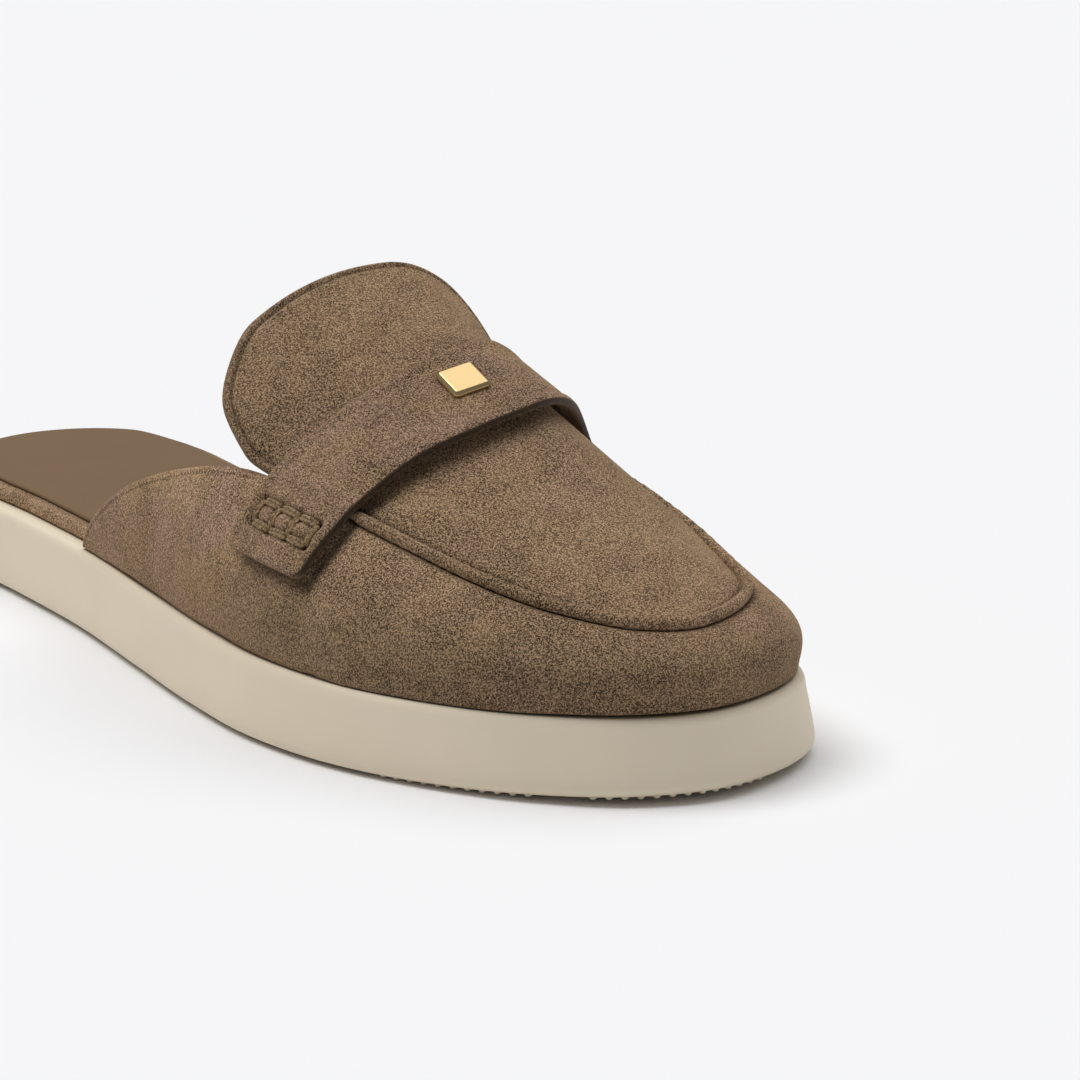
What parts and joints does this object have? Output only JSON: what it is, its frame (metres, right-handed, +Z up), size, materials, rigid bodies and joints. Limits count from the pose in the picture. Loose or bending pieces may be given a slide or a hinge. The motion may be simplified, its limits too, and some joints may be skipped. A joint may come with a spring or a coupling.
{
  "type": "loafer mule",
  "caption": "Right backless loafer in brown suede: wide tongue, saddle strap with a small plain stud, moc seam, leather insole and a thick flared pale rubber sole.",
  "frame": {"origin": "centre of the bounding box on the floor plane, under the sole", "axes": "+X to the toe, +Y to the medial side (the wearer's left), +Z up"},
  "size_m": [0.247, 0.0884, 0.073],
  "materials": {
    "sole_rubber": "smooth satin cream rubber",
    "footbed_suede": "suede, matt nap",
    "insole_leather": "smooth semi-matt leather",
    "upper_suede": "suede, matt mottled nap",
    "strap_suede": "suede, matt mottled nap, folded edges",
    "stud_metal": "polished pale gold"
  },
  "bodies": {
    "root": {"sole": "sole_rubber", "footbed": "footbed_suede", "insole": "insole_leather", "upper": "upper_suede", "tongue": "upper_suede", "strap": "strap_suede", "stud": "stud_metal"}
  },
  "joints": []
}
